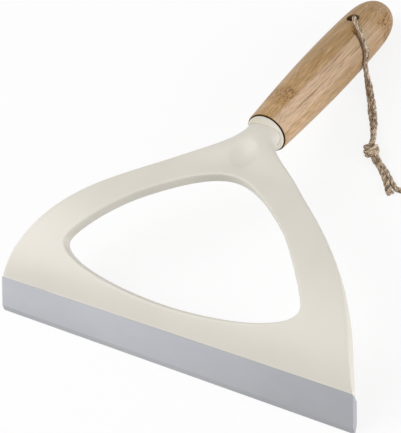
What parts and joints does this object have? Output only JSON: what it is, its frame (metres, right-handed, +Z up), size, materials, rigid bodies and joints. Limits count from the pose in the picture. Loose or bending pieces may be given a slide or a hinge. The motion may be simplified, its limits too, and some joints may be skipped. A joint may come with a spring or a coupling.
{
  "type": "squeegee",
  "caption": "Hand squeegee with an arched plastic head, a straight rubber blade, a turned bamboo handle and a twine hanging loop.",
  "frame": {"origin": "on the surface the squeegee lies on, below the middle of the rigid parts' extent", "axes": "+X along the blade, +Y from the blade to the handle's end, +Z up; the squeegee lies on the blade's lip and the end of the handle"},
  "size_m": [0.25, 0.2928, 0.0558],
  "materials": {
    "cream_plastic": "satin moulded plastic",
    "grey_rubber": "matt rubber",
    "bamboo": "sanded and oiled bamboo",
    "jute_twine": "coarse twisted jute"
  },
  "bodies": {
    "root": {"head_frame": "cream_plastic", "squeegee_blade": "grey_rubber", "bamboo_handle": "bamboo", "twine_loop": "jute_twine", "twine_knot": "jute_twine", "twine_short_tail": "jute_twine", "twine_long_tail": "jute_twine"}
  },
  "joints": []
}
